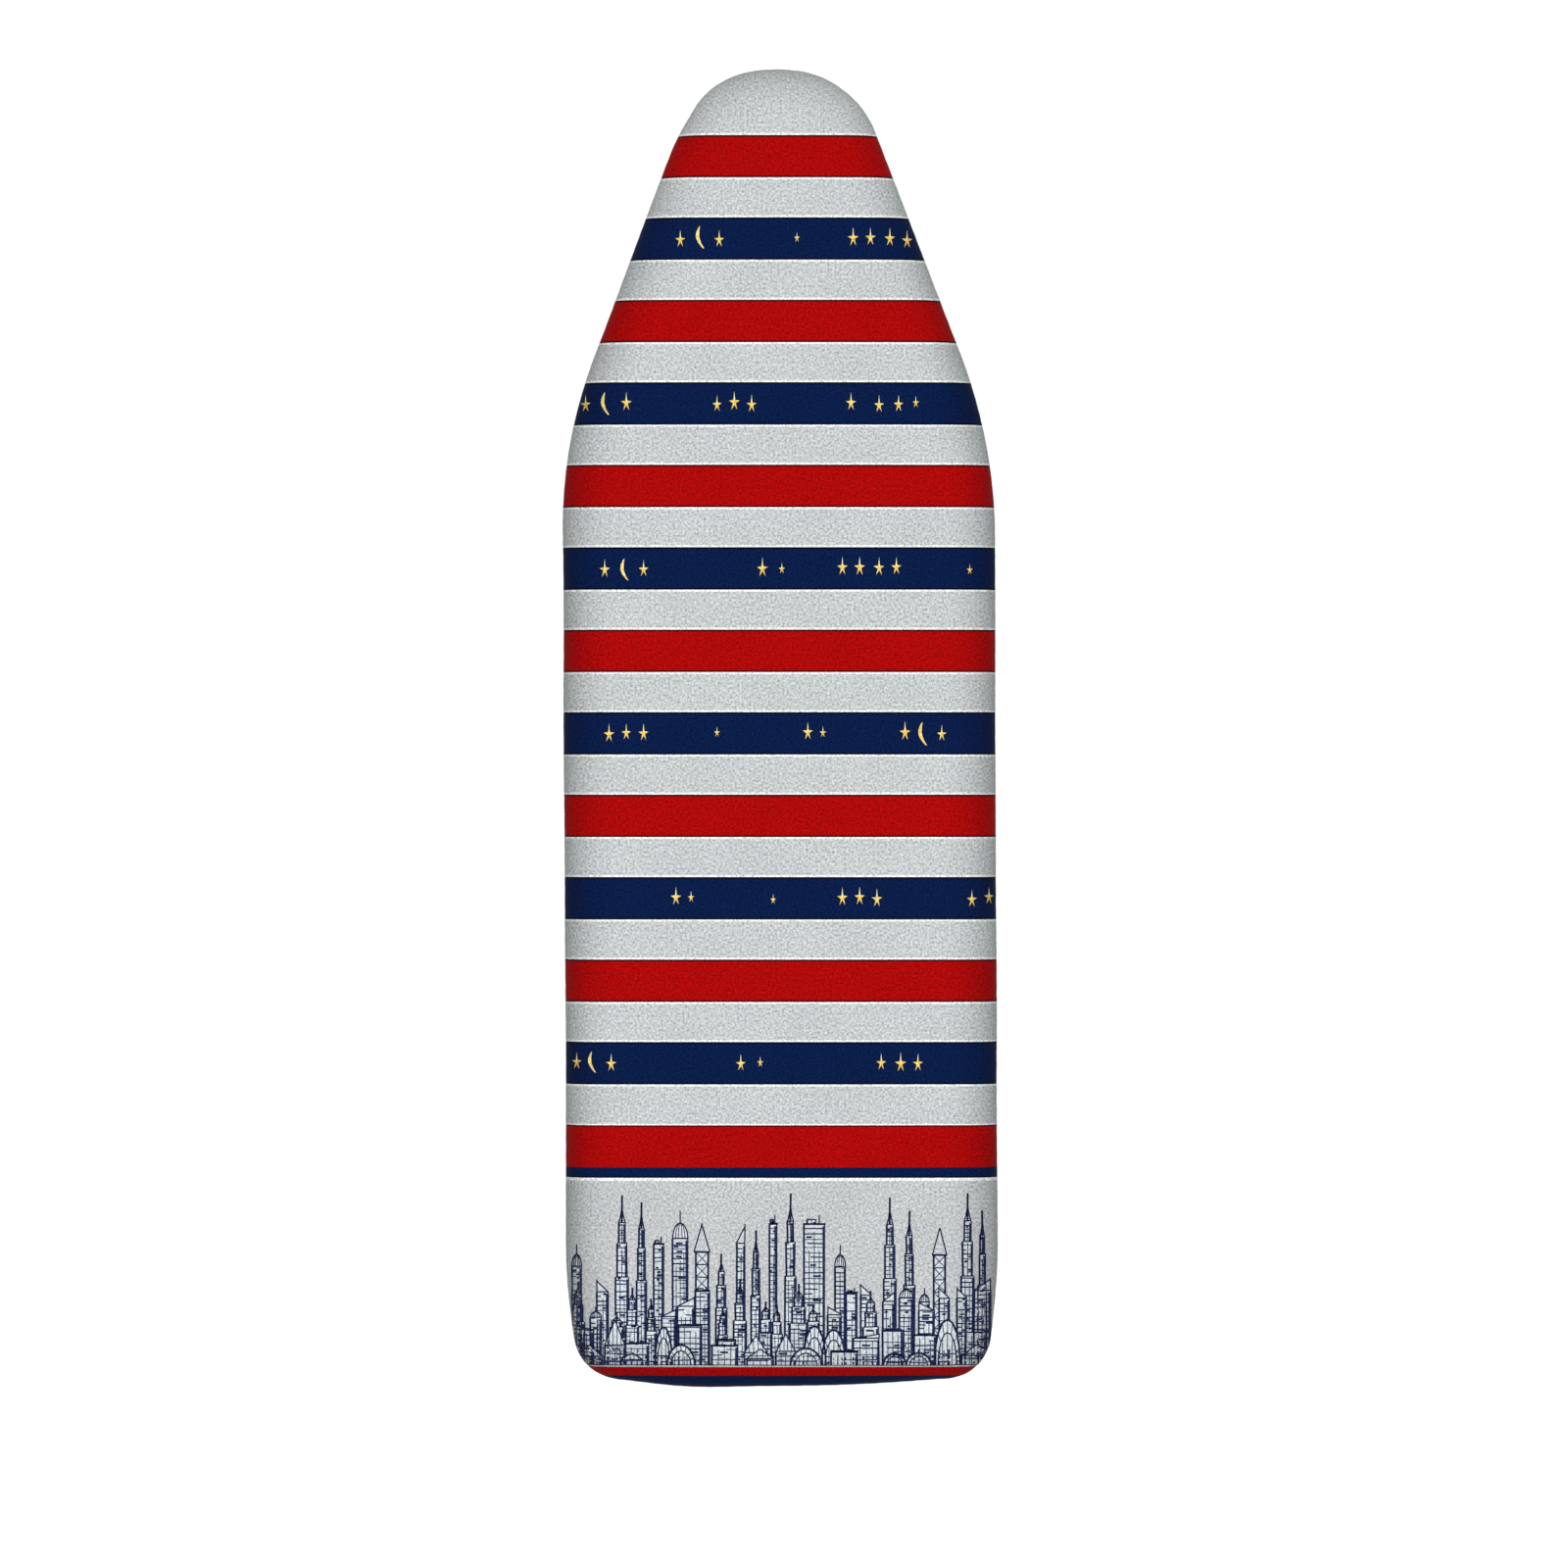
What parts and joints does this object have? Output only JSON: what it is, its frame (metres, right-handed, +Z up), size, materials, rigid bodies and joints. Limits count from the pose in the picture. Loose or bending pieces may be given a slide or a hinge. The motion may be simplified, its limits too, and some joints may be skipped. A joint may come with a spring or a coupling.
{
  "type": "sleeve ironing board",
  "caption": "Table-top sleeve ironing board: flat padded top with a rounded nose in an elasticated striped cover, on two splayed tube legs that fold flat beneath it.",
  "frame": {"origin": "on the table, below the middle of the board's bounding box, legs standing open", "axes": "+Y to the nose, +X to the right seen from above with the nose ahead, +Z up"},
  "size_m": [0.1992, 0.61, 0.15],
  "materials": {
    "printed_cotton": "plain-weave cotton with a printed pattern of stripes, stars, crescents and a line-drawn skyline",
    "binding_tape": "folded woven tape, stitched",
    "elastic": "flat braided elastic",
    "foam": "open-cell polyurethane foam",
    "galvanised_sheet": "galvanised sheet with punched steam holes",
    "frame_enamel": "light grey powder coat",
    "leg_enamel": "white powder coat",
    "zinc_steel": "zinc-plated steel",
    "nylon": "moulded nylon, matt",
    "rubber": "moulded rubber, matt"
  },
  "bodies": {
    "top": {"printed_cover": "printed_cotton", "hem_binding": "binding_tape", "hem_elastic": "elastic", "foam_pad": "foam", "steam_plate": "galvanised_sheet", "rim_rod": "frame_enamel", "nose_strap": "frame_enamel", "bearing_rivets": "zinc_steel", "clip_rivets": "zinc_steel", "front_hinge_strap": "frame_enamel", "front_rest_strap": "frame_enamel", "front_rest_clip": "nylon", "front_left_hinge_seat": "nylon", "front_left_hinge_saddle": "zinc_steel", "front_right_hinge_seat": "nylon", "front_right_hinge_saddle": "zinc_steel", "rear_hinge_strap": "frame_enamel", "rear_rest_strap": "frame_enamel", "rear_rest_clip": "nylon", "rear_left_hinge_seat": "nylon", "rear_left_hinge_saddle": "zinc_steel", "rear_right_hinge_seat": "nylon", "rear_right_hinge_saddle": "zinc_steel"},
    "front_leg": {"front_leg_tube": "leg_enamel", "front_leg_tie": "leg_enamel", "front_leg_stop_lug": "leg_enamel", "front_left_foot": "rubber", "front_right_foot": "rubber"},
    "rear_leg": {"rear_leg_tube": "leg_enamel", "rear_leg_tie": "leg_enamel", "rear_leg_stop_lug": "leg_enamel", "rear_left_foot": "rubber", "rear_right_foot": "rubber"}
  },
  "joints": [
    {"name": "front_leg_fold", "type": "hinge", "parent": "top", "child": "front_leg", "pos_m": [0, 0.125, 0.126], "axis": [-1, 0, 0], "range_deg": [0, 100]},
    {"name": "rear_leg_fold", "type": "hinge", "parent": "top", "child": "rear_leg", "pos_m": [0, -0.205, 0.126], "axis": [1, 0, 0], "range_deg": [0, 100]}
  ]
}
